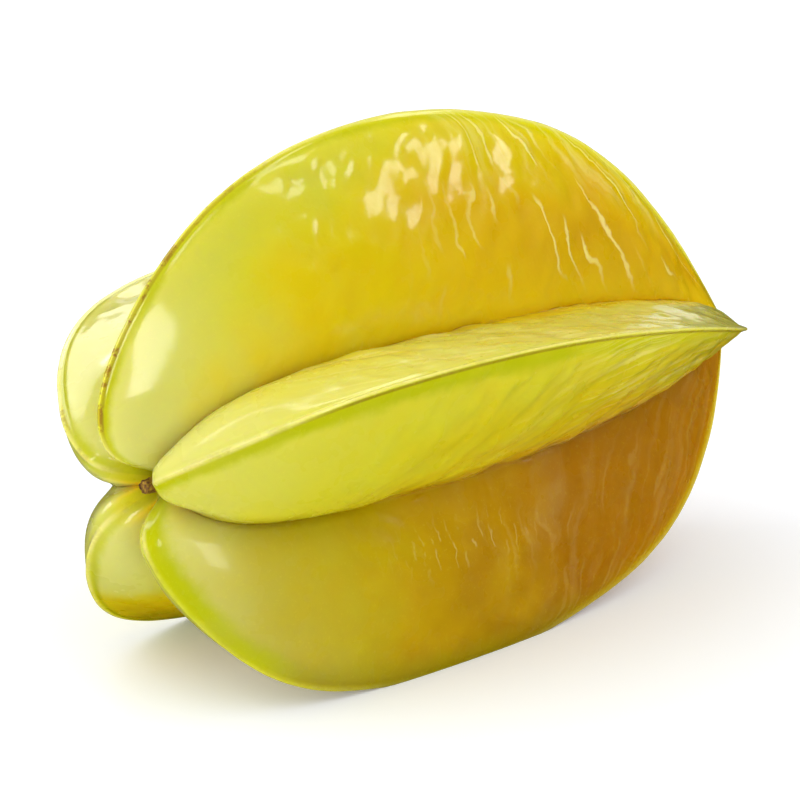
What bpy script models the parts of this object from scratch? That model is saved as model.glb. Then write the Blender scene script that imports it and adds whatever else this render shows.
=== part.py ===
"""Star fruit (carambola), lying on two of its five ribs.

Run with blender --background --python part.py, or from Blender's text editor.
Metres, +Z up. +X runs from the stem pit to the blossom tip. The fruit rests on
z = 0, with the middle of its bounding box over the origin.
"""

import math
from collections import namedtuple

import bmesh
import bpy
import numpy as np
from mathutils import Matrix

MM = 0.001

# Guide points of the two lines that shape the fruit, as (along the axis, out
# from the axis) in millimetres, from the floor of the stem pit to the blossom
# tip. The crest line is the edge of a rib, the valley line the groove between
# two ribs. Both are cubic B-splines.
CREST_GUIDE = (
    (10.0, 0.0),
    (12.0, 1.5),
    (-0.5, 3.5),
    (4.5, 18.5),
    (19.5, 35.0),
    (50.5, 38.0),
    (74.0, 34.0),
    (95.0, 27.0),
    (109.0, 12.0),
    (116.0, 0.0),
)
VALLEY_GUIDE = (
    (10.0, 0.0),
    (9.5, 2.0),
    (9.5, 6.0),
    (11.0, 11.5),
    (27.0, 15.0),
    (66.0, 16.5),
    (105.0, 8.5),
    (116.0, 0.0),
)

# Cross-section of a rib, as shares of the rib's height over the valley line:
# where the section's guide points stand between crest and valley.
EDGE_HALF_WIDTH = 0.05
NECK_HEIGHT = 0.86
NECK_HALF_WIDTH = 0.02
FLANK_HEIGHT = 0.35
FLANK_HALF_WIDTH = 0.63

# Near the pit the ribs turn into full, round-backed lobes that close over it.
# The crown is the back of a lobe and the cheeks are its sides: the places
# between which each fades out along the fruit, what each adds to the heights
# above, and its half widths as shares of the rib's greatest half width.
CROWN_FADE = (0.06, 0.22)
CROWN_LIFT = 0.06
CROWN_EDGE = 0.50
CROWN_NECK = 0.55
CHEEK_FADE = (0.14, 0.42)
CHEEK_LIFT = 0.30
CHEEK_NECK = 0.35
CHEEK_FLANK = 0.95

# The five ribs. root is the rib's direction round the axis in degrees, from
# +Y towards +Z. reach scales its height. lean turns its crest off the root
# direction, twist turns it further from end to end, and bend bows it in the
# middle, all in degrees. belly slides its middle and shoulder its stem end
# along the axis, and swell raises the shoulder, all in millimetres.
Rib = namedtuple("Rib", "name root reach lean twist bend belly shoulder swell")
RIBS = (
    Rib("front", 158.0, 0.97, -3.0, 4.0, 13.5, -1.5, 3.0, 2.0),
    Rib("top", 91.0, 1.11, -4.5, -1.5, -1.0, 1.0, -4.5, -3.0),
    Rib("back_top", 20.5, 1.00, 4.5, 0.0, 0.0, 2.5, 0.0, 0.0),
    Rib("back_bottom", -54.0, 0.95, -2.0, -1.5, 0.5, 0.0, 1.5, 2.0),
    Rib("front_bottom", -126.0, 0.94, 3.0, 1.0, -1.0, 0.0, 2.0, 3.0),
)
SHOULDER_PLACE = 0.30  # along the crest line, 0 at the pit and 1 at the tip
SHOULDER_SPREAD = 0.14
LEAN_GATHER = 1.2  # how much the lean gathers towards the crest

# How the fruit lies
TILT = 0.5  # degrees, stem end up
FLAT_DEPTH = 0.7 * MM  # how far the two lowest ribs are flattened where they rest
SNAP = 0.02 * MM  # edges of the flats shorter than this are closed up

# Fineness of the mesh
STEPS_PER_FLANK = 8
RINGS = 50

# The remnant of the stalk in the pit
STALK_RADIUS = 1.0 * MM
STALK_LENGTH = 2.0 * MM
STALK_FLARE = 1.2
STALK_SIDES = 12
STALK_GAP = 0.3 * MM

FRUIT_COLOUR = (0.62, 0.53, 0.04, 1.0)
STALK_COLOUR = (0.10, 0.05, 0.02, 1.0)


def clear_scene():
    """Remove every object that the file opened with."""
    for obj in list(bpy.data.objects):
        bpy.data.objects.remove(obj, do_unlink=True)


def spline(guide, places):
    """Return the points of a clamped cubic B-spline at places 0..1."""
    guide = np.asarray(guide, dtype=float)
    degree = 3
    count = len(guide)
    inner = np.linspace(0.0, 1.0, count - degree + 1)
    knots = np.concatenate([np.zeros(degree), inner, np.ones(degree)])
    at = np.clip(np.asarray(places, dtype=float), 0.0, 1.0 - 1e-9)
    spans = len(knots) - 1
    weight = np.array([(knots[i] <= at) & (at < knots[i + 1]) for i in range(spans)], dtype=float)
    for order in range(1, degree + 1):
        raised = np.zeros((spans - order, len(at)))
        for i in range(spans - order):
            rise = knots[i + order] - knots[i]
            fall = knots[i + order + 1] - knots[i + 1]
            if rise > 0.0:
                raised[i] += (at - knots[i]) / rise * weight[i]
            if fall > 0.0:
                raised[i] += (knots[i + order + 1] - at) / fall * weight[i + 1]
        weight = raised
    return weight.T @ guide


def smooth_step(start, end, value):
    """Return 0 before start, 1 after end and a smooth rise between them."""
    share = np.clip((value - start) / (end - start), 0.0, 1.0)
    return share * share * (3.0 - 2.0 * share)


def skin_points(turn, along):
    """Return points of the fruit's skin, in millimetres, for numpy arrays.

    turn is 0..5 round the fruit: whole numbers are crests, halves are valleys.
    along is 0..1 from the pit to the tip.
    """
    crest = spline(CREST_GUIDE, along)
    valley = spline(VALLEY_GUIDE, along)
    number = np.floor(turn + 0.5).astype(int)
    side = np.sign(turn - number)
    number = number % len(RIBS)
    from_crest = np.abs(2.0 * (turn - np.round(turn)))

    table = {field: np.array([getattr(rib, field) for rib in RIBS]) for field in Rib._fields[1:]}
    rib = {field: values[number] for field, values in table.items()}
    # Turning on from one rib to the next goes down through the root angles.
    to_next = (table["root"] - np.roll(table["root"], -1)) % 360.0
    half_next = to_next[number] / 2.0
    half_last = np.roll(to_next, 1)[number] / 2.0
    half_sector = np.radians(np.where(side > 0, half_next, half_last))

    arch = np.sin(np.pi * np.clip(along, 0.0, 1.0))
    shoulder = np.exp(-(((along - SHOULDER_PLACE) / SHOULDER_SPREAD) ** 2))
    reach = crest[:, 1] * (1.0 + (rib["reach"] - 1.0) * np.sqrt(arch)) + rib["swell"] * shoulder
    core = valley[:, 1]
    height = reach - core

    # A quartic curve from the crest to the valley
    near = 1.0 - from_crest
    share = [math.comb(4, k) * near ** (4 - k) * from_crest**k for k in range(5)]
    crown = 1.0 - smooth_step(*CROWN_FADE, along)
    cheek = 1.0 - smooth_step(*CHEEK_FADE, along)
    neck_height = NECK_HEIGHT + CROWN_LIFT * crown
    flank_height = FLANK_HEIGHT + CHEEK_LIFT * cheek
    lift = share[0] + share[1] + share[2] * neck_height + share[3] * flank_height
    out = core * (1.0 - share[4]) + height * lift + share[4] * core * np.cos(half_sector)
    slender = share[1] * EDGE_HALF_WIDTH + share[2] * NECK_HALF_WIDTH + share[3] * FLANK_HALF_WIDTH
    full = share[1] * CROWN_EDGE * crown + share[3] * CHEEK_FLANK * cheek
    full += share[2] * (CROWN_NECK * crown + CHEEK_NECK * cheek)
    bulge = height * slender * (1.0 - cheek) + reach * np.sin(half_sector) * full
    across = -side * (bulge + share[4] * core * np.sin(half_sector))

    slide = rib["belly"] * arch**2 + rib["shoulder"] * shoulder
    x = valley[:, 0] + (crest[:, 0] - valley[:, 0] + slide) * lift
    end_to_end = 2.0 * along - 1.0
    turned = rib["lean"] + rib["twist"] * end_to_end + rib["bend"] * (end_to_end**2 - 1.0 / 3.0)
    angle = np.radians(rib["root"] + turned * np.clip(lift, 0.0, 1.0) ** LEAN_GATHER)
    y = out * np.cos(angle) - across * np.sin(angle)
    z = out * np.sin(angle) + across * np.cos(angle)
    return np.stack([x, y, z], axis=1)


def lay_down(points):
    """Turn points from the fruit's own axis to the way that it lies."""
    turned = np.array(Matrix.Rotation(math.radians(TILT), 3, "Y"))
    return points @ turned.T


def resting_offset():
    """Return the move, in metres, that sets the fruit on z = 0 over the origin."""
    turn, along = np.meshgrid(np.linspace(0.0, 5.0, 401), np.linspace(0.0, 1.0, 401))
    points = lay_down(skin_points(turn.ravel(), along.ravel())) * MM
    low = points.min(axis=0)
    high = points.max(axis=0)
    middle = (low + high) / 2.0
    return np.array([-middle[0], -middle[1], -low[2] - FLAT_DEPTH])


def make_material(name, colour, roughness):
    """Return a Principled material."""
    material = bpy.data.materials.new(name)
    material.use_nodes = True
    shader = material.node_tree.nodes["Principled BSDF"]
    shader.inputs["Base Color"].default_value = colour
    shader.inputs["Roughness"].default_value = roughness
    shader.inputs["Metallic"].default_value = 0.0
    return material


def add_object(name, bm, material, collection):
    """Turn a bmesh into a smooth-shaded object in the collection."""
    bmesh.ops.recalc_face_normals(bm, faces=bm.faces)
    mesh = bpy.data.meshes.new(name)
    bm.to_mesh(mesh)
    bm.free()
    mesh.shade_smooth()
    mesh.materials.append(material)
    obj = bpy.data.objects.new(name, mesh)
    collection.objects.link(obj)
    return obj


def press_flat(bm):
    """Cut away what lies below z = 0 and close the cuts with flat faces."""
    everything = list(bm.verts) + list(bm.edges) + list(bm.faces)
    cut = bmesh.ops.bisect_plane(
        bm,
        geom=everything,
        dist=1e-7,
        plane_co=(0.0, 0.0, 0.0),
        plane_no=(0.0, 0.0, -1.0),
        clear_outer=True,
    )
    rims = [item for item in cut["geom_cut"] if isinstance(item, bmesh.types.BMEdge)]
    bmesh.ops.holes_fill(bm, edges=rims, sides=0)
    bmesh.ops.dissolve_degenerate(bm, dist=SNAP, edges=bm.edges)
    for vert in bm.verts:
        if vert.co.z < SNAP:
            vert.co.z = 0.0


def build_fruit(offset, collection):
    """Shape a sphere into the ribbed fruit and flatten it where it rests."""
    bm = bmesh.new()
    segments = len(RIBS) * 2 * STEPS_PER_FLANK
    bmesh.ops.create_uvsphere(bm, u_segments=segments, v_segments=RINGS, radius=1.0)
    sphere = np.array([vert.co for vert in bm.verts])
    turn = np.arctan2(sphere[:, 1], sphere[:, 0]) / (2.0 * np.pi) * len(RIBS)
    turn = np.round(turn * 2 * STEPS_PER_FLANK) / (2 * STEPS_PER_FLANK)
    along = np.arccos(np.clip(-sphere[:, 2], -1.0, 1.0)) / np.pi
    points = lay_down(skin_points(turn % len(RIBS), along)) * MM + offset
    for vert, point in zip(bm.verts, points):
        vert.co = point
    press_flat(bm)
    bmesh.ops.triangulate(bm, faces=bm.faces)
    return add_object("fruit", bm, make_material("waxy_skin", FRUIT_COLOUR, 0.3), collection)


def build_stalk(offset, collection):
    """Stand a short flared stub on the floor of the pit."""
    bm = bmesh.new()
    bmesh.ops.create_cone(
        bm,
        cap_ends=True,
        segments=STALK_SIDES,
        radius1=STALK_RADIUS,
        radius2=STALK_RADIUS * STALK_FLARE,
        depth=STALK_LENGTH,
    )
    floor = float(min(CREST_GUIDE[0][0], VALLEY_GUIDE[1][0])) * MM - STALK_GAP
    for vert in bm.verts:
        outward = floor - (vert.co.z + STALK_LENGTH / 2.0)
        point = np.array([outward, vert.co.x, vert.co.y]) / MM
        vert.co = lay_down(point[None, :])[0] * MM + offset
    bmesh.ops.triangulate(bm, faces=bm.faces)
    return add_object("stem_stub", bm, make_material("dry_stalk", STALK_COLOUR, 0.8), collection)


def main():
    """Build the star fruit."""
    clear_scene()
    collection = bpy.data.collections.new("star_fruit")
    bpy.context.scene.collection.children.link(collection)
    offset = resting_offset()
    build_fruit(offset, collection)
    build_stalk(offset, collection)


main()
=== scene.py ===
"""Looks of the star fruit: fine ribbed skin, waxy finish, dry stalk and a soft white studio."""

import math
from collections import namedtuple

import bmesh
import bpy
import numpy as np
from mathutils import Matrix, Vector, noise


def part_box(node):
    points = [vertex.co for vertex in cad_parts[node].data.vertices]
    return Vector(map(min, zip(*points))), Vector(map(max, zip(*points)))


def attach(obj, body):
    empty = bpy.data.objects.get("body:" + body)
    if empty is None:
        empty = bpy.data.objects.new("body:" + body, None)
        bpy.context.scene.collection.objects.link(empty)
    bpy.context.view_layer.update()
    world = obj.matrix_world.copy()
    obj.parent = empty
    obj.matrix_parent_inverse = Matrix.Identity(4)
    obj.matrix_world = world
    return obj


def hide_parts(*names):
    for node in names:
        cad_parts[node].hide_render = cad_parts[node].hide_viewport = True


MM = 0.001

# The form of the fruit, in millimetres along its axis and out from it. The
# crest line is the edge of a rib, the valley line the groove between two.
CREST_GUIDE = (
    (10.0, 0.0),
    (12.0, 1.5),
    (-0.5, 3.5),
    (4.5, 18.5),
    (19.5, 35.0),
    (50.5, 38.0),
    (74.0, 34.0),
    (95.0, 27.0),
    (109.0, 12.0),
    (116.0, 0.0),
)
VALLEY_GUIDE = (
    (10.0, 0.0),
    (9.5, 2.0),
    (9.5, 6.0),
    (11.0, 11.5),
    (27.0, 15.0),
    (66.0, 16.5),
    (105.0, 8.5),
    (116.0, 0.0),
)

# Cross-section of a rib, as shares of the rib's height over the valley line:
# where the section's guide points stand between crest and valley.
EDGE_HALF_WIDTH = 0.05
NECK_HEIGHT = 0.86
NECK_HALF_WIDTH = 0.02
FLANK_HEIGHT = 0.35
FLANK_HALF_WIDTH = 0.63

# Near the pit the ribs turn into full, round-backed lobes that close over it.
# The crown is the back of a lobe and the cheeks are its sides: the places
# between which each fades out along the fruit, what each adds to the heights
# above, and its half widths as shares of the rib's greatest half width.
CROWN_FADE = (0.06, 0.22)
CROWN_LIFT = 0.06
CROWN_EDGE = 0.50
CROWN_NECK = 0.55
CHEEK_FADE = (0.14, 0.42)
CHEEK_LIFT = 0.30
CHEEK_NECK = 0.35
CHEEK_FLANK = 0.95

# The five ribs. root is the rib's direction round the axis in degrees, from
# +Y towards +Z. reach scales its height. lean turns its crest off the root
# direction, twist turns it further from end to end, and bend bows it in the
# middle, all in degrees. belly slides its middle and shoulder its stem end
# along the axis, and swell raises the shoulder, all in millimetres.
Rib = namedtuple("Rib", "name root reach lean twist bend belly shoulder swell")
RIBS = (
    Rib("front", 158.0, 0.97, -3.0, 4.0, 13.5, -1.5, 3.0, 2.0),
    Rib("top", 91.0, 1.11, -4.5, -1.5, -1.0, 1.0, -4.5, -3.0),
    Rib("back_top", 20.5, 1.00, 4.5, 0.0, 0.0, 2.5, 0.0, 0.0),
    Rib("back_bottom", -54.0, 0.95, -2.0, -1.5, 0.5, 0.0, 1.5, 2.0),
    Rib("front_bottom", -126.0, 0.94, 3.0, 1.0, -1.0, 0.0, 2.0, 3.0),
)
FRONT, TOP, BACK_TOP, BACK_BOTTOM, FRONT_BOTTOM = range(len(RIBS))
SHOULDER_PLACE = 0.30  # along the crest line, 0 at the pit and 1 at the tip
SHOULDER_SPREAD = 0.14
LEAN_GATHER = 1.2  # how much the lean gathers towards the crest
TILT = 0.5  # degrees, nose up, as the fruit lies
FLAT_DEPTH = 0.7 * MM  # of the spots that it rests on

# Fineness of the skin
STEPS_PER_FLANK = 32
RINGS = 298

# Uneven patches all over the skin: how strong they are, in millimetres for
# relief and as a share for colours, their size in millimetres and their seed.
Patches = namedtuple("Patches", "amount size seed")
LUMPS = Patches(0.45, 14.0, 1)
DENTS = Patches(0.30, 3.6, 2)
BEAD_UNEVEN = Patches(0.5, 6.0, 3)
RIPE_CLOUDS = Patches(0.09, 16.0, 4)
RIPE_SPOTS = Patches(0.06, 5.0, 5)
BAND_UNEVEN = Patches(0.4, 9.0, 6)
BAND_WAVER = Patches(0.5, 8.0, 7)
VEIN_UNEVEN = Patches(0.5, 9.0, 8)
RIPPLES = Patches(0.07, 1.8, 9)
DENT_STRETCH = (0.9, 1.0, 1.0)

# Relief beside the crests and in the grooves, in millimetres. The groove's
# reach is a share of the way from valley to crest.
BEAD_HEIGHT = 0.15
BEAD_HALF_WIDTH = 0.30
GUTTER_DEPTH = 0.12
GUTTER_PLACE = 0.9
GUTTER_HALF_WIDTH = 0.5
GROOVE_FILL = 0.60
GROOVE_REACH = 0.05
SMOOTH_STEM_END = (12.0, 34.0)  # the dents begin between these distances from the stem end
STEM_END_DENTS = 0.08  # share of the dents that is left there
SMOOTH_CREST = (0.8, 5.0)  # the dents begin between these distances from a crest
SLIM_END = 12.0  # relief is weaker where the crest is closer to the axis than this

# Colour of each rib. start is its ripeness at the stem end, 0 green and 1
# amber, and gain what it adds by the tip. green_last and green_next are how
# strong the green band beside its crest is, on the flank that faces the rib
# before and the rib after. slant_last and slant_next are how far the veins of
# each flank run towards the tip on their way down it, in millimetres. greener
# is how much less ripe it is by its crest, deep how much painted
# shade darkens it, and veins how strong its veins are.
Tone = namedtuple(
    "Tone", "name start gain green_last green_next slant_last slant_next greener deep veins"
)
TONES = (
    Tone("front", 0.10, 0.48, 1.0, 0.1, -45.0, -40.0, 0.12, 0.0, 0.3),
    Tone("top", 0.12, 0.88, 0.9, 0.8, 24.0, 24.0, 0.32, 0.0, 1.0),
    Tone("back_top", 0.00, 0.90, 0.8, 0.6, 30.0, 30.0, 0.25, 0.0, 0.12),
    Tone("back_bottom", 0.05, 0.90, 0.6, 0.8, 30.0, 25.0, 0.15, 0.0, 0.12),
    # The lowest rib's steep gain is partly its real ripening and partly painted shade towards its
    # tip.
    Tone("front_bottom", 0.14, 1.35, 0.6, 1.0, 20.0, 28.0, 0.0, 0.28, 0.12),
)
LENGTH = 116.0  # of the fruit, in millimetres
CREST_LENGTH = 150.0  # of a crest line, in millimetres

# Where the colours change. A pair holds the two places between which a smooth
# change starts and ends. Along is 0 at the pit and 1 at the tip, down is 0 at
# a crest and 1 in the groove beside it, and edge is millimetres from a crest.
# The face is the upper flank of the front rib, and the lowest rib is the
# front_bottom one.
GREENER_EDGE = (1.0, 17.0)
VALLEY_DOWN = (0.80, 1.0)
VALLEY_RIPER = 0.08
LEAST_RIPE = 0.02
# Painted amber reflection and shade under the back_bottom rib by the stem end: what it adds to the
# ripeness and where it lies
UNDERSIDE_PAINTED_REFLECTION = 0.34
UNDERSIDE_DEPTH = (14.5, 19.0)  # millimetres under the fruit's axis
UNDERSIDE_END = (0.12, 0.30)
FACE_GREENER = 0.30
FACE_RISE = (0.02, 0.15)
FACE_FALL = (0.70, 0.95)
FACE_START = (0.20, 0.60)
BAND_FADE = (0.45, 0.90)
BAND_LOSS = 0.7
LOWEST_BAND_FADE = (0.31, 0.43)
LOWEST_BAND_LOSS = 0.85
BAND_WIDTH = 2.4
LOWEST_BAND_EXTRA = 2.8
FRONT_BAND_EXTRA = 1.8
FRONT_BAND_BROADENS = (0.15, 0.5)
VEINS_START = (0.54, 0.70)
VEINS_END = (0.92, 0.99)
VEINS_RISE = (0.06, 0.20)
VEINS_FALL = (0.80, 0.95)
STREAKS_DOWN = (0.3, 0.6)
FACE_STREAKS_START = (0.30, 0.55)
MILK_END = (0.15, 0.48)
MILK_RIPE = (0.10, 0.45)
LOWEST_MILK_END = (0.15, 0.60)
LOWEST_MILK_RIPE = (0.10, 0.75)
# Where the painted light in the bottom of the grooves lies
GROOVE_LIGHT_DOWN = (0.60, 1.0)
OCHRE_GROOVE_DOWN = (0.50, 0.95)
OCHRE_GROOVE_END = (0.08, 0.22)
PIT_END = (0.02, 0.07)
BACK_PIT_END = (0.09, 0.15)
# Where the painted shade on the lowest rib lies and how it fades along the fruit
PAINTED_SHADE_DOWN = (0.15, 0.45)
PAINTED_SHADE_START = (0.08, 0.40)
PAINTED_SHADE_FADE = (0.58, 0.80)
FRONT_CREASE_START = (0.30, 0.42)
TOP_CREASE_RISE = (0.14, 0.22)
TOP_CREASE_FALL = (0.40, 0.55)
TOP_CREASE = 0.75
SCUFF_PLACE = 0.30  # along, with its spread
SCUFF_SPREAD = 0.14
SCUFF_LEAST = 0.12
SCRIBBLE_PLACE = (0.65, 0.76)  # along and down, with their spreads
SCRIBBLE_SPREAD = (0.07, 0.08)

# Fine marks beside the crests, in millimetres from the crest line
BAND_SIDE = (1.0, 0.40)  # in widths of the band
BEAD_LINE = (0.70, 0.10)
CREASE_INNER = (0.05, 0.25)
CREASE_OUTER = (0.80, 0.50)
SCUFF_LINE = (0.9, 0.3)

# Veins, scribbles and streaks down the flanks, in millimetres
VEIN_SPACING = 3.4
VEIN_HALF_WIDTH = 0.42
SCRIBBLE_SPACING = 1.7
SCRIBBLE_HALF_WIDTH = 0.22
STREAK_LENGTH = 14.0
STREAK_FINENESS = 0.50
WIDE_SWAY = 9.0
FINE_SWAY = 1.8

# How many patches of noise there are in a metre
BLOTCHES = 420.0
RUBBED_SPOTS = 260.0
WIDE_WAVES = 90.0
FINE_WAVES = 420.0
PORES = 2400.0
DULL_SPOTS = 130.0
DIMPLES = 400.0
SKIN_GRAIN = 900.0
BARK_GRAIN = 1800.0

# Finishes, as linear red, green and blue. The flesh runs from green to amber.
FLESH_STOPS = (
    (0.00, (0.56, 0.56, 0.040)),
    (0.20, (0.61, 0.57, 0.020)),
    (0.42, (0.67, 0.53, 0.001)),
    (0.65, (0.67, 0.42, 0.001)),
    (0.85, (0.52, 0.26, 0.001)),
    (1.00, (0.43, 0.18, 0.001)),
)
MILKY_GREEN = (0.62, 0.62, 0.22)
# Colour of the painted shade on the lowest rib
PAINTED_SHADE_BROWN = (0.05, 0.03, 0.001)
# Colours of the painted light in the grooves and on the front rib's upper face
PAINTED_LIGHT_GREEN = (0.76, 0.72, 0.20)
PAINTED_LIGHT_GOLD = (0.90, 0.68, 0.004)
# The ochre of the skin round the pit, painted brighter than it is to make up for the shade in the
# pit
OCHRE_WITH_PAINTED_LIGHT = (0.88, 0.68, 0.008)
BAND_GREEN = (0.42, 0.45, 0.001)
BEAD_STRAW = (0.80, 0.70, 0.30)
CREASE_BROWN = (0.20, 0.15, 0.006)
SCUFF_BROWN = (0.17, 0.08, 0.015)
STREAK_CREAM = (0.90, 0.85, 0.36)
VEIN_CREAM = (0.90, 0.80, 0.28)
PORE_YELLOW = (0.80, 0.74, 0.08)
BARK_STOPS = (
    (0.34, (0.060, 0.020, 0.003)),
    (0.50, (0.280, 0.120, 0.010)),
    (0.66, (0.560, 0.360, 0.020)),
)

# The stalk's stub
STALK_SIDES = 48
STALK_CUTS = 24
STALK_TAPER = (0.9, 0.7)  # radius at its two ends, as shares of the solid's
STALK_RIDGES = 9.0
STALK_RIDGE = 0.10
STALK_ROUGH = 0.14
STALK_FRAY = 0.25 * MM
STALK_LONGER = 0.6 * MM

# The studio. Lamps hang round the middle of the fruit at one distance, in
# metres: azimuth is 0 in front and 90 at the right, in degrees. Fills light
# the skin and don't show in it, and softboxes show only as highlights.
Lamp = namedtuple("Lamp", "name azimuth elevation width height radiance")
FILLS = (
    Lamp("overhead_fill", -120.0, 70.0, 1.5, 1.2, 0.40),
    Lamp("front_fill", -25.0, 36.0, 1.3, 1.0, 0.80),
    Lamp("left_fill", -120.0, 38.0, 1.3, 0.9, 1.2),
    Lamp("low_fill", -90.0, 12.0, 1.2, 0.5, 1.0),
    Lamp("right_fill", 70.0, 30.0, 1.0, 0.9, 0.75),
)
SOFTBOXES = (
    Lamp("front_box", -38.0, 28.0, 0.30, 0.80, 9.0),
    Lamp("right_box", 59.0, 31.0, 0.30, 0.20, 6.5),
    Lamp("high_right_box", 52.0, 60.0, 0.18, 0.38, 6.0),
    Lamp("left_top_box", -70.0, 76.0, 0.42, 0.42, 6.5),
    Lamp("side_box", -84.0, 22.0, 0.20, 0.26, 7.0),
    Lamp("back_box", 170.0, 34.0, 1.30, 0.60, 3.3),
    Lamp("back_glint_box", 160.0, 40.0, 0.30, 0.08, 9.0),
    Lamp("low_back_box", 136.0, 8.0, 0.50, 0.22, 1.2),
)
LAMP_DISTANCE = 1.2
LAMP_TINT = (1.0, 0.99, 0.975)
SURROUND_TINT = (1.0, 0.995, 0.98)
SURROUND_STRENGTH = 0.74
EXPOSURE = -0.02
FLOOR_RADIUS = 6.0
FLOOR_COLOUR = (0.900, 0.925, 0.985)
FLOOR_GLOW = 0.17

# The camera, aimed at the middle of the fruit
MIDDLE = Vector((-0.0041, 0.0, 0.0300))
CAMERA_AZIMUTH = -44.2
CAMERA_ELEVATION = 17.9
CAMERA_DISTANCE = 0.8
CAMERA_LENS = 270.0  # millimetres, on a sensor 36 millimetres wide


def spline(guide, places):
    """Return the points of a clamped cubic B-spline at places 0..1."""
    guide = np.asarray(guide, dtype=float)
    degree = 3
    count = len(guide)
    inner = np.linspace(0.0, 1.0, count - degree + 1)
    knots = np.concatenate([np.zeros(degree), inner, np.ones(degree)])
    at = np.clip(np.asarray(places, dtype=float), 0.0, 1.0 - 1e-9)
    spans = len(knots) - 1
    weight = np.array([(knots[i] <= at) & (at < knots[i + 1]) for i in range(spans)], dtype=float)
    for order in range(1, degree + 1):
        raised = np.zeros((spans - order, len(at)))
        for i in range(spans - order):
            rise = knots[i + order] - knots[i]
            fall = knots[i + order + 1] - knots[i + 1]
            if rise > 0.0:
                raised[i] += (at - knots[i]) / rise * weight[i]
            if fall > 0.0:
                raised[i] += (knots[i + order + 1] - at) / fall * weight[i + 1]
        weight = raised
    return weight.T @ guide


def smooth_step(start, end, value):
    """Return 0 before start, 1 after end and a smooth rise between them."""
    share = np.clip((value - start) / (end - start), 0.0, 1.0)
    return share * share * (3.0 - 2.0 * share)


def between(rise, fall, value):
    """Return 1 between two places: a smooth rise over the first, a smooth fall over the second."""
    return smooth_step(*rise, value) * (1.0 - smooth_step(*fall, value))


def skin_points(turn, along):
    """Return points of the fruit's skin, in millimetres, for numpy arrays.

    turn is 0..5 round the fruit: whole numbers are crests, halves are valleys.
    along is 0..1 from the pit to the tip.
    """
    crest = spline(CREST_GUIDE, along)
    valley = spline(VALLEY_GUIDE, along)
    number = np.floor(turn + 0.5).astype(int)
    side = np.sign(turn - number)
    number = number % len(RIBS)
    from_crest = np.abs(2.0 * (turn - np.round(turn)))

    table = {field: np.array([getattr(rib, field) for rib in RIBS]) for field in Rib._fields[1:]}
    rib = {field: values[number] for field, values in table.items()}
    # Turning on from one rib to the next goes down through the root angles.
    to_next = (table["root"] - np.roll(table["root"], -1)) % 360.0
    half_next = to_next[number] / 2.0
    half_last = np.roll(to_next, 1)[number] / 2.0
    half_sector = np.radians(np.where(side > 0, half_next, half_last))

    arch = np.sin(np.pi * np.clip(along, 0.0, 1.0))
    shoulder = np.exp(-(((along - SHOULDER_PLACE) / SHOULDER_SPREAD) ** 2))
    reach = crest[:, 1] * (1.0 + (rib["reach"] - 1.0) * np.sqrt(arch)) + rib["swell"] * shoulder
    core = valley[:, 1]
    height = reach - core

    # A quartic curve from the crest to the valley
    near = 1.0 - from_crest
    share = [math.comb(4, k) * near ** (4 - k) * from_crest**k for k in range(5)]
    crown = 1.0 - smooth_step(*CROWN_FADE, along)
    cheek = 1.0 - smooth_step(*CHEEK_FADE, along)
    neck_height = NECK_HEIGHT + CROWN_LIFT * crown
    flank_height = FLANK_HEIGHT + CHEEK_LIFT * cheek
    lift = share[0] + share[1] + share[2] * neck_height + share[3] * flank_height
    out = core * (1.0 - share[4]) + height * lift + share[4] * core * np.cos(half_sector)
    slender = share[1] * EDGE_HALF_WIDTH + share[2] * NECK_HALF_WIDTH + share[3] * FLANK_HALF_WIDTH
    full = share[1] * CROWN_EDGE * crown + share[3] * CHEEK_FLANK * cheek
    full += share[2] * (CROWN_NECK * crown + CHEEK_NECK * cheek)
    bulge = height * slender * (1.0 - cheek) + reach * np.sin(half_sector) * full
    across = -side * (bulge + share[4] * core * np.sin(half_sector))

    slide = rib["belly"] * arch**2 + rib["shoulder"] * shoulder
    x = valley[:, 0] + (crest[:, 0] - valley[:, 0] + slide) * lift
    end_to_end = 2.0 * along - 1.0
    turned = rib["lean"] + rib["twist"] * end_to_end + rib["bend"] * (end_to_end**2 - 1.0 / 3.0)
    angle = np.radians(rib["root"] + turned * np.clip(lift, 0.0, 1.0) ** LEAN_GATHER)
    y = out * np.cos(angle) - across * np.sin(angle)
    z = out * np.sin(angle) + across * np.cos(angle)
    return np.stack([x, y, z], axis=1)


def lay_down(points):
    """Turn points from the fruit's own axis to the way that it lies."""
    turned = np.array(Matrix.Rotation(math.radians(TILT), 3, "Y"))
    return points @ turned.T


def resting_offset(box):
    """Return the move, in metres, that sets the skin on the CAD solid."""
    turn, along = np.meshgrid(np.linspace(0.0, 5.0, 401), np.linspace(0.0, 1.0, 401))
    points = lay_down(skin_points(turn.ravel(), along.ravel())) * MM
    low = points.min(axis=0)
    high = points.max(axis=0)
    middle = (low + high) / 2.0
    solid = (np.array(box[0]) + np.array(box[1])) / 2.0
    return np.array([solid[0] - middle[0], solid[1] - middle[1], box[0][2] - low[2] - FLAT_DEPTH])


def patches(points, kind):
    """Return smooth noise of one kind of patches at points, half of it below zero."""
    shift = Vector((kind.seed * 17.3, kind.seed * 5.1, kind.seed * 9.7))
    values = [noise.fractal(Vector(point) / kind.size + shift, 1.0, 2.0, 2) for point in points]
    return kind.amount * np.array(values)


def tone_table(field):
    """Return one field of every rib's tone as an array."""
    return np.array([getattr(tone, field) for tone in TONES])


def flank_values(number, side, last, following):
    """Pick a rib's value for the flank before its crest or after it, or their mean on it."""
    mean = (last + following)[number] / 2.0
    return np.where(side < 0.0, last[number], np.where(side > 0.0, following[number], mean))


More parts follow.
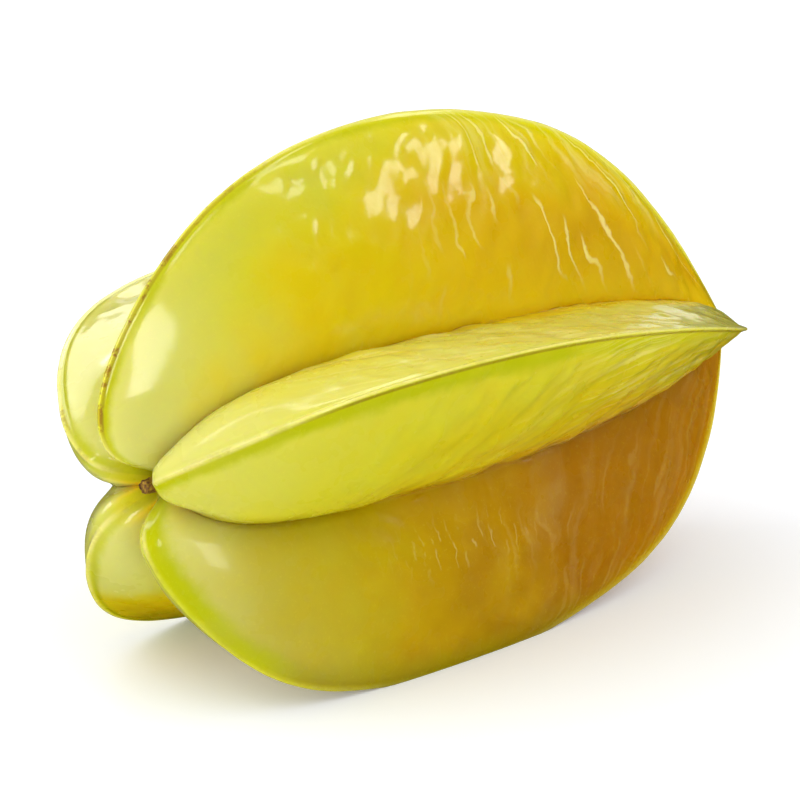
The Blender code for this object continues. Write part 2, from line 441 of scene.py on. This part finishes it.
def ripeness(points, number, side, from_crest, edge):
    """Return how ripe the skin is, 0 green to 1 amber, blending from rib to rib in the valleys,
    with a painted amber reflection and shade under the back_bottom rib's stem end.
    """
    place = np.clip(points[:, 0] / LENGTH, 0.0, 1.0)
    beside = (number + side.astype(int)) % len(RIBS)
    start = tone_table("start")
    gain = tone_table("gain")
    own = start[number] + gain[number] * place
    other = start[beside] + gain[beside] * place
    # Ribs meet halfway in colour, but the groove under the front rib is the lower rib's.
    taken = np.where((number == FRONT_BOTTOM) & (side > 0), 0.1, 0.5)
    taken = np.where((number == FRONT) & (side < 0), 0.9, taken)
    share = taken * smooth_step(*VALLEY_DOWN, from_crest)
    ripe = own * (1.0 - share) + other * share

    greener = tone_table("greener")[number] * (1.0 - smooth_step(*GREENER_EDGE, edge))
    # Painted reflection and shade: the back_bottom rib's underside by the stem end is turned amber.
    painted_underside_reflection = np.where(number == BACK_BOTTOM, UNDERSIDE_PAINTED_REFLECTION, 0.0)
    painted_underside_reflection = painted_underside_reflection * smooth_step(*UNDERSIDE_DEPTH, -points[:, 2])
    painted_underside_reflection = painted_underside_reflection * (1.0 - smooth_step(*UNDERSIDE_END, place))
    face = np.where((number == FRONT) & (side > 0), FACE_GREENER, 0.0)
    face = face * between(FACE_RISE, FACE_FALL, from_crest) * smooth_step(*FACE_START, place)
    ripe = ripe - greener - face + painted_underside_reflection + VALLEY_RIPER * from_crest**2
    ripe = ripe + patches(points, RIPE_CLOUDS) + patches(points, RIPE_SPOTS)
    return np.maximum(ripe, LEAST_RIPE)


def green_band(points, number, side, along):
    """Return the strength and the width in millimetres of the green beside the crests."""
    strength = flank_values(number, side, tone_table("green_last"), tone_table("green_next"))
    strength = strength * (1.0 - BAND_LOSS * smooth_step(*BAND_FADE, along))
    lowest_loss = LOWEST_BAND_LOSS * smooth_step(*LOWEST_BAND_FADE, along)
    strength = strength * np.where(number == FRONT_BOTTOM, 1.0 - lowest_loss, 1.0)
    strength = np.clip(strength * (1.0 + patches(points, BAND_UNEVEN)), 0.0, 1.0)
    broadens = FRONT_BAND_EXTRA * smooth_step(*FRONT_BAND_BROADENS, along)
    front_extra = np.where((number == FRONT) & (side < 0), broadens, 0.0)
    lowest_extra = np.where((number == FRONT_BOTTOM) & (side > 0), LOWEST_BAND_EXTRA, 0.0)
    width = BAND_WIDTH + front_extra + lowest_extra + patches(points, BAND_WAVER)
    return strength, width


def vein_fields(points, number, side, along, from_crest):
    """Return where the raised veins run, and how strong they and the broad pale streaks are."""
    slant = flank_values(number, side, tone_table("slant_last"), tone_table("slant_next"))
    run = along * CREST_LENGTH - slant * from_crest
    tip_end = 1.0 - smooth_step(*VEINS_END, along)
    far = smooth_step(*VEINS_START, along - 0.10 * from_crest) * tip_end
    flank = between(VEINS_RISE, VEINS_FALL, from_crest)
    spread = 0.75 + patches(points, VEIN_UNEVEN)
    amount = far * flank * spread * tone_table("veins")[number]

    face = (number == FRONT) & (side > 0)
    crest_part = 1.0 - smooth_step(*STREAKS_DOWN, from_crest)
    broad = np.where(face, 0.7, np.where(number == FRONT, 0.5, 0.10))
    broad = np.where(number == TOP, 0.6 * crest_part, broad)
    face_ends = smooth_step(*FACE_STREAKS_START, along) * tip_end
    streaks = broad * np.where(face, face_ends, far) * spread
    return run, np.clip(amount, 0.0, 1.0), np.clip(streaks, 0.0, 1.0)


def milk_field(number, side, along, ripe):
    """Return how milky the green skin is by the stem end."""
    usual = (1.0 - smooth_step(*MILK_END, along)) * (1.0 - smooth_step(*MILK_RIPE, ripe))
    lowest = 1.0 - smooth_step(*LOWEST_MILK_END, along)
    lowest = lowest * (1.0 - smooth_step(*LOWEST_MILK_RIPE, ripe))
    clearer = np.where((number == FRONT) & (side < 0), 0.45, 1.0)
    return np.where(number == FRONT_BOTTOM, lowest, usual * clearer)


def groove_fields(number, side, along, from_crest):
    """Return the painted light in the bottom of the grooves and on the front rib's upper face, and
    how ochre the skin round the pit is, painted brighter there.
    """
    groove_of = np.where(side > 0.0, number, number - 1) % len(RIBS)
    # Painted light in the bottom of the grooves, most in the one between the front and top ribs, to
    # make up for their shade.
    share = np.where(groove_of == FRONT, 1.0, np.where(groove_of == FRONT_BOTTOM, 0.0, 0.3))
    pale = smooth_step(*GROOVE_LIGHT_DOWN, from_crest) * share
    # On the front rib's upper face it is partly pale skin and partly a painted broad highlight.
    face = (number == FRONT) & (side > 0)
    pale = np.maximum(pale, np.where(face, 0.6 * smooth_step(*FACE_RISE, from_crest), 0.0))

    groove = smooth_step(*OCHRE_GROOVE_DOWN, from_crest)
    groove = groove * (1.0 - smooth_step(*OCHRE_GROOVE_END, along))
    groove = groove * np.where(groove_of == BACK_TOP, 0.9, 0.3)
    back = (number == BACK_TOP) | (number == BACK_BOTTOM)
    front_pit = 1.0 - smooth_step(*PIT_END, along)
    back_pit = 1.0 - smooth_step(*BACK_PIT_END, along)
    return pale, np.maximum(0.9 * np.where(back, back_pit, front_pit), groove)


def painted_shade_field(number, along, from_crest):
    """Return the painted shade that darkens the lowest rib, most towards its crest."""
    crest_part = 1.0 - smooth_step(*PAINTED_SHADE_DOWN, from_crest)
    run = smooth_step(*PAINTED_SHADE_START, along) * (1.0 - 0.7 * smooth_step(*PAINTED_SHADE_FADE, along))
    return tone_table("deep")[number] * run * (1.0 + 1.2 * crest_part)


def scribble_field(number, side, along, from_crest):
    """Return where faint pale scribbles lie on the flank of the rib below the front one."""
    below = (number == FRONT_BOTTOM) & (side > 0)
    off_along = (along - SCRIBBLE_PLACE[0]) / SCRIBBLE_SPREAD[0]
    off_down = (from_crest - SCRIBBLE_PLACE[1]) / SCRIBBLE_SPREAD[1]
    return np.where(below, np.exp(-(off_along**2) - off_down**2), 0.0)


def scuff_field(number, along):
    """Return where the crests are rubbed brown, mostly by the stem end of the top ribs."""
    shoulder = np.exp(-(((along - SCUFF_PLACE) / SCUFF_SPREAD) ** 2))
    elsewhere = np.where(number == BACK_TOP, 0.5 * shoulder, SCUFF_LEAST)
    return np.where(number == TOP, shoulder, elsewhere)


def crease_field(number, side, along):
    """Return where a dark crease runs beside the pale bead of a crest."""
    under = (number == FRONT) & (side < 0.0)
    on_top = TOP_CREASE * between(TOP_CREASE_RISE, TOP_CREASE_FALL, along)
    on_others = np.where(number == TOP, on_top, 0.0)
    return np.where(under, smooth_step(*FRONT_CREASE_START, along), on_others)


def skin_relief(points, along, from_crest, edge, dented):
    """Return how far each point of the skin stands out from the plain form, in millimetres."""
    size = np.clip(spline(CREST_GUIDE, along)[:, 1] / SLIM_END, 0.0, 1.0)
    body = smooth_step(*SMOOTH_CREST, edge) * size
    relief = patches(points, LUMPS) * body * (0.3 + 0.7 * dented)
    relief += patches(points * DENT_STRETCH, DENTS) * body * dented
    relief += patches(points, RIPPLES) * body * dented
    uneven = 1.0 + patches(points, BEAD_UNEVEN)
    relief += BEAD_HEIGHT * uneven * np.exp(-((edge / BEAD_HALF_WIDTH) ** 2)) * size
    relief -= GUTTER_DEPTH * np.exp(-(((edge - GUTTER_PLACE) / GUTTER_HALF_WIDTH) ** 2)) * size
    relief += GROOVE_FILL * np.exp(-(((1.0 - from_crest) / GROOVE_REACH) ** 2)) * size
    return relief


def skin_fields(points, turn, along, from_crest, edge, dented):
    """Return the values that the waxy skin's colours are made from, for every point."""
    number = np.floor(turn + 0.5).astype(int)
    side = np.sign(turn - number)
    number = number % len(RIBS)
    band, band_width = green_band(points, number, side, along)
    vein_run, vein_amount, streak_amount = vein_fields(points, number, side, along, from_crest)
    groove, ochre = groove_fields(number, side, along, from_crest)
    ripe = ripeness(points, number, side, from_crest, edge)
    return {
        "along": along,
        "edge": edge,
        "ripe": ripe,
        "milk": milk_field(number, side, along, ripe),
        "deep": painted_shade_field(number, along, from_crest),
        "band": band,
        "band_width": band_width,
        "vein_run": vein_run,
        "vein_amount": vein_amount,
        "streak_amount": streak_amount,
        "scribbles": scribble_field(number, side, along, from_crest),
        "crease": crease_field(number, side, along),
        "dented": dented,
        "groove": groove,
        "ochre": ochre,
        "scuffs": scuff_field(number, along),
    }


def add_piece(name, bm):
    """Turn a bmesh into a smooth piece of the scene."""
    mesh = bpy.data.meshes.new(name)
    bm.to_mesh(mesh)
    bm.free()
    mesh.shade_smooth()
    piece = bpy.data.objects.new(name, mesh)
    bpy.context.scene.collection.objects.link(piece)
    return piece


def make_skin(offset):
    """Make the fine skin of the whole fruit with its relief and its colour values."""
    bm = bmesh.new()
    segments = len(RIBS) * 2 * STEPS_PER_FLANK
    bmesh.ops.create_uvsphere(bm, u_segments=segments, v_segments=RINGS, radius=1.0)
    sphere = np.array([vert.co for vert in bm.verts])
    turn = np.arctan2(sphere[:, 1], sphere[:, 0]) / (2.0 * np.pi) * len(RIBS)
    turn = (np.round(turn * 2 * STEPS_PER_FLANK) / (2 * STEPS_PER_FLANK)) % len(RIBS)
    along = np.arccos(np.clip(-sphere[:, 2], -1.0, 1.0)) / np.pi
    from_crest = np.abs(2.0 * (turn - np.round(turn)))

    points = skin_points(turn, along)
    crest_points = skin_points(np.round(turn) % len(RIBS), along)
    edge = np.linalg.norm(points - crest_points, axis=1)
    for vert, point in zip(bm.verts, points):
        vert.co = point
    if bm.calc_volume(signed=True) < 0.0:
        bmesh.ops.reverse_faces(bm, faces=bm.faces)
    bm.normal_update()
    outward = np.array([vert.normal for vert in bm.verts])

    dented = smooth_step(*SMOOTH_STEM_END, points[:, 0])
    dented = STEM_END_DENTS + (1.0 - STEM_END_DENTS) * dented
    relief = skin_relief(points, along, from_crest, edge, dented)
    shaped = lay_down(points + outward * relief[:, None]) * MM + offset
    shaped[:, 2] = np.maximum(shaped[:, 2], 0.0)
    for vert, point in zip(bm.verts, shaped):
        vert.co = point

    skin = add_piece("skin", bm)
    fields = skin_fields(points, turn, along, from_crest, edge, dented)
    for name, values in fields.items():
        layer = skin.data.attributes.new(name, "FLOAT", "POINT")
        layer.data.foreach_set("value", values.astype(np.float32))
    return skin


def opaque(colour):
    """Return a colour of three numbers with full alpha."""
    return (*colour, 1.0)


class Nodes:
    """A material's node tree, with short calls for the nodes used here."""

    def __init__(self, tree):
        self.tree = tree

    def add(self, kind, **settings):
        node = self.tree.nodes.new(kind)
        for name, value in settings.items():
            setattr(node, name, value)
        return node

    def link(self, source, target):
        self.tree.links.new(source, target)

    def feed(self, value, socket):
        """Put a number, a colour or another node's output into a socket."""
        if isinstance(value, bpy.types.NodeSocket):
            self.link(value, socket)
        else:
            socket.default_value = value

    def attribute(self, name):
        return self.add("ShaderNodeAttribute", attribute_name=name).outputs["Fac"]

    def math(self, operation, first, second=0.0):
        node = self.add("ShaderNodeMath", operation=operation)
        self.feed(first, node.inputs[0])
        self.feed(second, node.inputs[1])
        return node.outputs[0]

    def fade(self, value, low, high, out_low=0.0, out_high=1.0):
        """Map value smoothly from low..high to out_low..out_high."""
        node = self.add("ShaderNodeMapRange", interpolation_type="SMOOTHSTEP")
        self.feed(value, node.inputs["Value"])
        self.feed(low, node.inputs["From Min"])
        self.feed(high, node.inputs["From Max"])
        self.feed(out_low, node.inputs["To Min"])
        self.feed(out_high, node.inputs["To Max"])
        return node.outputs["Result"]

    def mix(self, share, first, second):
        """Blend two colours, each an output or three plain numbers, by share."""
        node = self.add("ShaderNodeMix", data_type="RGBA")
        self.feed(share, node.inputs[0])
        for value, socket in ((first, node.inputs[6]), (second, node.inputs[7])):
            self.feed(opaque(value) if isinstance(value, tuple) else value, socket)
        return node.outputs[2]

    def scale(self, value, factor):
        """Multiply value by a number or by another output."""
        return self.math("MULTIPLY", value, factor)

    def bump(self, height, strength, distance):
        """Return the normals of a surface with this relief, distance in metres."""
        node = self.add("ShaderNodeBump")
        node.inputs["Strength"].default_value = strength
        node.inputs["Distance"].default_value = distance
        self.link(height, node.inputs["Height"])
        return node.outputs["Normal"]

    def ramp(self, value, stops):
        node = self.add("ShaderNodeValToRGB")
        elements = node.color_ramp.elements
        while len(elements) < len(stops):
            elements.new(1.0)
        for element, (place, tone) in zip(elements, stops):
            element.position = place
            element.color = opaque(tone)
        self.link(value, node.inputs["Fac"])
        return node.outputs["Color"]

    def noise(self, scale, detail=3.0, roughness=0.5, coordinates=None):
        node = self.add("ShaderNodeTexNoise")
        node.inputs["Scale"].default_value = scale
        node.inputs["Detail"].default_value = detail
        node.inputs["Roughness"].default_value = roughness
        if coordinates is None:
            coordinates = self.add("ShaderNodeTexCoord").outputs["Object"]
        self.link(coordinates, node.inputs["Vector"])
        return node.outputs["Fac"]

    def streaks(self, run, down, fineness, length):
        """Return soft uneven streaks that run down the flank and change across it."""
        place = self.add("ShaderNodeCombineXYZ")
        self.link(self.math("MULTIPLY", run, fineness), place.inputs["X"])
        self.link(self.math("DIVIDE", down, length), place.inputs["Y"])
        return self.fade(self.noise(1.0, 2.0, 0.6, place.outputs["Vector"]), 0.46, 0.70)

    def strokes(self, run, sway, spacing, half_width, core, down, breaks):
        """Return thin wavy lines that stand spacing apart along run and break up down the flank.

        core is the share of a line's width that is at full strength.
        """
        place = self.math("DIVIDE", self.math("ADD", run, sway), spacing)
        off_line = self.math("ABSOLUTE", self.math("SUBTRACT", self.math("FRACT", place), 0.5))
        line = self.fade(off_line, half_width / spacing, core * half_width / spacing)
        which = self.add("ShaderNodeCombineXYZ")
        self.link(self.math("MULTIPLY", self.math("FLOOR", place), 7.3), which.inputs["X"])
        self.link(self.math("MULTIPLY", down, breaks), which.inputs["Y"])
        shown = self.fade(self.noise(1.0, 1.0, 0.5, which.outputs["Vector"]), 0.46, 0.54)
        return self.math("MULTIPLY", line, shown)


def new_material(name):
    """Return a new material, the Nodes that fill it and its main shader."""
    material = bpy.data.materials.new(name)
    material.use_nodes = True
    nodes = Nodes(material.node_tree)
    return material, nodes, material.node_tree.nodes["Principled BSDF"]


def flesh_colour(nodes, ripe, deep):
    """Return the colour of the flesh under the skin: green, golden or amber, with painted shade on
    the lowest rib, painted light in the grooves and ochre round the pit, painted brighter.
    """
    flesh = nodes.ramp(ripe, FLESH_STOPS)
    flesh = nodes.mix(nodes.scale(nodes.attribute("milk"), 0.75), flesh, MILKY_GREEN)
    # Painted shade: the lowest rib is darkened towards brown, most by its crest.
    flesh = nodes.mix(deep, flesh, PAINTED_SHADE_BROWN)
    # Painted light: the bottom of the grooves and the front rib's upper face are lightened.
    painted_groove_light = nodes.mix(nodes.fade(ripe, 0.15, 0.45), PAINTED_LIGHT_GREEN, PAINTED_LIGHT_GOLD)
    flesh = nodes.mix(nodes.scale(nodes.attribute("groove"), 0.6), flesh, painted_groove_light)
    # Ochre round the pit: its own colour, painted brighter to stand in for light in the shaded pit.
    return nodes.mix(nodes.attribute("ochre"), flesh, OCHRE_WITH_PAINTED_LIGHT)


def colour_crests(nodes, flesh, edge, deep):
    """Return the flesh colour with green bands, a pale bead, creases and brown scuffs at crests."""
    blotches = nodes.noise(BLOTCHES, 3.0, 0.6)
    waver = nodes.fade(blotches, 0.3, 0.7, 0.9, 1.1)
    width = nodes.scale(nodes.attribute("band_width"), waver)
    inside = nodes.fade(nodes.math("DIVIDE", edge, width), *BAND_SIDE)
    flesh = nodes.mix(nodes.scale(inside, nodes.attribute("band")), flesh, BAND_GREEN)

    crease = nodes.attribute("crease")
    near_stem = nodes.fade(nodes.attribute("along"), 0.22, 0.06)
    pale = nodes.scale(nodes.fade(edge, *BEAD_LINE), nodes.fade(blotches, 0.25, 0.6, 0.30, 0.6))
    pale = nodes.scale(pale, nodes.fade(crease, 0.0, 1.0, 1.0, 0.25))
    pale = nodes.scale(pale, nodes.fade(near_stem, 0.3, 0.9, 1.0, 0.0))
    # The pale bead fades where the painted shade lies.
    pale = nodes.scale(pale, nodes.fade(deep, 0.05, 0.25, 1.0, 0.2))
    flesh = nodes.mix(pale, flesh, BEAD_STRAW)

    crack = nodes.scale(nodes.fade(edge, *CREASE_INNER), nodes.fade(edge, *CREASE_OUTER))
    crack = nodes.scale(nodes.scale(crack, crease), 0.75)
    flesh = nodes.mix(crack, flesh, CREASE_BROWN)

    rubbed = nodes.fade(nodes.noise(RUBBED_SPOTS, 4.0, 0.7), 0.50, 0.58)
    worn = nodes.scale(nodes.fade(edge, *SCUFF_LINE), rubbed)
    return nodes.mix(nodes.scale(worn, nodes.attribute("scuffs")), flesh, SCUFF_BROWN)


def colour_veins(nodes, flesh, edge):
    """Return the colour with its pale streaks and veins, and how raised the skin is at them."""
    run = nodes.attribute("vein_run")
    wide_waves = nodes.math("SUBTRACT", nodes.noise(WIDE_WAVES, 1.0, 0.5), 0.5)
    fine_waves = nodes.math("SUBTRACT", nodes.noise(FINE_WAVES, 2.0, 0.5), 0.5)
    fine_sway = nodes.scale(fine_waves, FINE_SWAY)
    sway = nodes.math("ADD", nodes.scale(wide_waves, WIDE_SWAY), fine_sway)

    drift = nodes.math("ADD", run, sway)
    streak = nodes.streaks(drift, edge, STREAK_FINENESS, STREAK_LENGTH)
    streak = nodes.scale(streak, nodes.attribute("streak_amount"))
    flesh = nodes.mix(nodes.scale(streak, 0.8), flesh, STREAK_CREAM)

    vein = nodes.strokes(run, sway, VEIN_SPACING, VEIN_HALF_WIDTH, 0.25, edge, 0.07)
    vein = nodes.scale(vein, nodes.attribute("vein_amount"))
    curl = nodes.strokes(
        run, fine_sway, SCRIBBLE_SPACING, SCRIBBLE_HALF_WIDTH, 0.3, edge, 0.30
    )
    curl = nodes.scale(curl, nodes.attribute("scribbles"))
    marks = nodes.math("MAXIMUM", vein, nodes.scale(curl, 0.3))
    return nodes.mix(nodes.scale(marks, 0.9), flesh, VEIN_CREAM), marks


def waxy_skin():
    """Thin waxy skin over wet flesh: green at the rib edges, golden to amber between."""
    material, nodes, shader = new_material("waxy_skin")
    edge = nodes.attribute("edge")
    ripe = nodes.attribute("ripe")
    deep = nodes.attribute("deep")
    flesh = flesh_colour(nodes, ripe, deep)
    flesh = colour_crests(nodes, flesh, edge, deep)
    flesh, marks = colour_veins(nodes, flesh, edge)
    pores = nodes.fade(nodes.noise(PORES, 2.0, 0.5), 0.60, 0.72)
    flesh = nodes.mix(nodes.scale(pores, 0.10), flesh, PORE_YELLOW)
    nodes.link(flesh, shader.inputs["Base Color"])

    dull = nodes.fade(nodes.noise(DULL_SPOTS, 3.0, 0.6), 0.3, 0.7, 0.20, 0.38)
    nodes.link(dull, shader.inputs["Roughness"])
    dimples = nodes.scale(nodes.noise(DIMPLES, 2.0, 0.5), 1.3)
    grain = nodes.scale(nodes.noise(SKIN_GRAIN, 3.0, 0.55), 0.2)
    rough = nodes.scale(nodes.math("ADD", dimples, grain), nodes.attribute("dented"))
    normals = nodes.bump(nodes.math("ADD", rough, marks), 0.5, 0.18 * MM)
    nodes.link(normals, shader.inputs["Normal"])

    shader.inputs["Subsurface Weight"].default_value = 0.7
    shader.inputs["Subsurface Radius"].default_value = (1.0, 0.7, 0.03)
    shader.inputs["Subsurface Scale"].default_value = 12.0 * MM
    shader.inputs["Specular IOR Level"].default_value = 0.15
    wax = nodes.fade(ripe, 0.35, 0.80, 0.60, 0.35)
    wax = nodes.scale(wax, nodes.fade(deep, 0.0, 0.2, 1.0, 0.3))
    nodes.link(wax, shader.inputs["Coat Weight"])
    shader.inputs["Coat Roughness"].default_value = 0.11
    return material


def make_stalk(box):
    """Make the dry stub of the stalk that is left in the pit."""
    low = np.array(box[0])
    high = np.array(box[1])
    radius = (high[1] - low[1]) / 2.0
    length = high[0] - low[0] + STALK_LONGER
    bm = bmesh.new()
    bmesh.ops.create_cone(
        bm,
        cap_ends=True,
        segments=STALK_SIDES,
        radius1=radius * STALK_TAPER[0],
        radius2=radius * STALK_TAPER[1],
        depth=length,
    )
    rails = [edge for edge in bm.edges if edge.calc_length() > length / 2]
    bmesh.ops.subdivide_edges(bm, edges=rails, cuts=STALK_CUTS, use_grid_fill=True)
    for vert in bm.verts:
        place = vert.co.z / length + 0.5
        round_angle = math.atan2(vert.co.y, vert.co.x)
        away = math.hypot(vert.co.x, vert.co.y)
        ridge = STALK_RIDGE * math.sin(STALK_RIDGES * round_angle + 2.0 * place)
        way = Vector((math.cos(round_angle) * 3.0, math.sin(round_angle) * 3.0, place * 6.0))
        swell = 1.0 + (ridge + STALK_ROUGH * noise.noise(way)) * min(1.0, away / radius)
        across = Vector((vert.co.x, vert.co.y, 0.0))
        frayed = STALK_FRAY * noise.noise(across / (0.5 * MM)) * (place > 0.97)
        vert.co = Vector((vert.co.x * swell, vert.co.y * swell, vert.co.z + frayed))
    turn = Matrix.Rotation(math.radians(-90.0), 4, "Y")
    shift = Matrix.Translation(Vector((low + high) / 2.0) + Vector((STALK_LONGER / 2.0, 0.0, 0.0)))
    bmesh.ops.transform(bm, matrix=shift @ turn, verts=bm.verts)
    bmesh.ops.recalc_face_normals(bm, faces=bm.faces)
    return add_piece("stalk", bm)


def dry_stalk():
    """Dark brown dried bark."""
    material, nodes, shader = new_material("dry_stalk")
    grain = nodes.noise(BARK_GRAIN, 4.0, 0.6)
    nodes.link(nodes.ramp(grain, BARK_STOPS), shader.inputs["Base Color"])
    nodes.link(nodes.fade(grain, 0.3, 0.8, 0.65, 0.9), shader.inputs["Roughness"])
    nodes.link(nodes.bump(grain, 0.6, 0.2 * MM), shader.inputs["Normal"])
    return material


def direction(azimuth, elevation):
    """Return the way from the fruit towards a place: azimuth 0 in front, 90 at the right."""
    turn = math.radians(azimuth)
    rise = math.radians(elevation)
    level = math.cos(rise)
    return Vector((math.sin(turn) * level, -math.cos(turn) * level, math.sin(rise)))


def place_facing(holder, azimuth, elevation, distance):
    """Put a lamp or a camera round the middle of the fruit, looking at it."""
    back = direction(azimuth, elevation)
    holder.location = MIDDLE + back * distance
    holder.rotation_euler = back.to_track_quat("Z", "Y").to_euler()
    bpy.context.scene.collection.objects.link(holder)


def hang_lamp(lamp, glossy=True, diffuse=True):
    """Hang an oblong light that faces the fruit, as bright as its radiance where it is seen."""
    light = bpy.data.lights.new(lamp.name, "AREA")
    light.shape = "RECTANGLE"
    light.size = lamp.width
    light.size_y = lamp.height
    light.energy = lamp.radiance * math.pi * lamp.width * lamp.height
    light.color = LAMP_TINT
    holder = bpy.data.objects.new(lamp.name, light)
    holder.visible_glossy = glossy
    holder.visible_diffuse = diffuse
    place_facing(holder, lamp.azimuth, lamp.elevation, LAMP_DISTANCE)


def make_floor():
    """Lay the white studio floor, which glows a little and isn't mirrored in the skin."""
    bm = bmesh.new()
    bmesh.ops.create_circle(bm, cap_ends=True, segments=96, radius=FLOOR_RADIUS)
    mesh = bpy.data.meshes.new("floor")
    bm.to_mesh(mesh)
    bm.free()
    floor = bpy.data.objects.new("floor", mesh)
    floor.visible_glossy = False
    bpy.context.scene.collection.objects.link(floor)
    material, _, shader = new_material("studio_floor")
    shader.inputs["Base Color"].default_value = opaque(FLOOR_COLOUR)
    shader.inputs["Roughness"].default_value = 0.6
    shader.inputs["Specular IOR Level"].default_value = 0.2
    shader.inputs["Emission Color"].default_value = opaque((1.0, 1.0, 1.0))
    shader.inputs["Emission Strength"].default_value = FLOOR_GLOW
    mesh.materials.append(material)


def make_studio():
    """Set the lights and the white surroundings."""
    scene = bpy.context.scene
    world = bpy.data.worlds.new("studio")
    scene.world = world
    world.use_nodes = True
    background = world.node_tree.nodes["Background"]
    background.inputs["Color"].default_value = opaque(SURROUND_TINT)
    background.inputs["Strength"].default_value = SURROUND_STRENGTH
    world.cycles_visibility.glossy = False
    for lamp in FILLS:
        hang_lamp(lamp, glossy=False)
    for lamp in SOFTBOXES:
        hang_lamp(lamp, diffuse=False)
    scene.view_settings.view_transform = "Standard"
    scene.view_settings.exposure = EXPOSURE


def make_camera():
    """Aim the camera at the fruit from the front left and a little above."""
    lens = bpy.data.cameras.new("camera")
    lens.sensor_width = 36.0
    lens.lens = CAMERA_LENS
    lens.clip_start = 0.01
    lens.clip_end = 20.0
    camera = bpy.data.objects.new("camera", lens)
    place_facing(camera, CAMERA_AZIMUTH, CAMERA_ELEVATION, CAMERA_DISTANCE)
    bpy.context.scene.camera = camera


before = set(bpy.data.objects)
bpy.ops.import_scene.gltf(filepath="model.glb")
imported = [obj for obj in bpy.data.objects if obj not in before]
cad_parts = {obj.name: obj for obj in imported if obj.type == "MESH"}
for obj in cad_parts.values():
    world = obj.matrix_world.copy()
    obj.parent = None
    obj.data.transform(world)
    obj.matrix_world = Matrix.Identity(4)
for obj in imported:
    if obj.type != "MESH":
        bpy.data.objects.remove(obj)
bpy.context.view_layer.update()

skin = make_skin(resting_offset(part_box("fruit")))
skin.data.materials.append(waxy_skin())
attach(skin, "root")
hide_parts("fruit")

stalk = make_stalk(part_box("stem_stub"))
stalk.data.materials.append(dry_stalk())
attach(stalk, "root")
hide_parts("stem_stub")

make_floor()
make_studio()
make_camera()
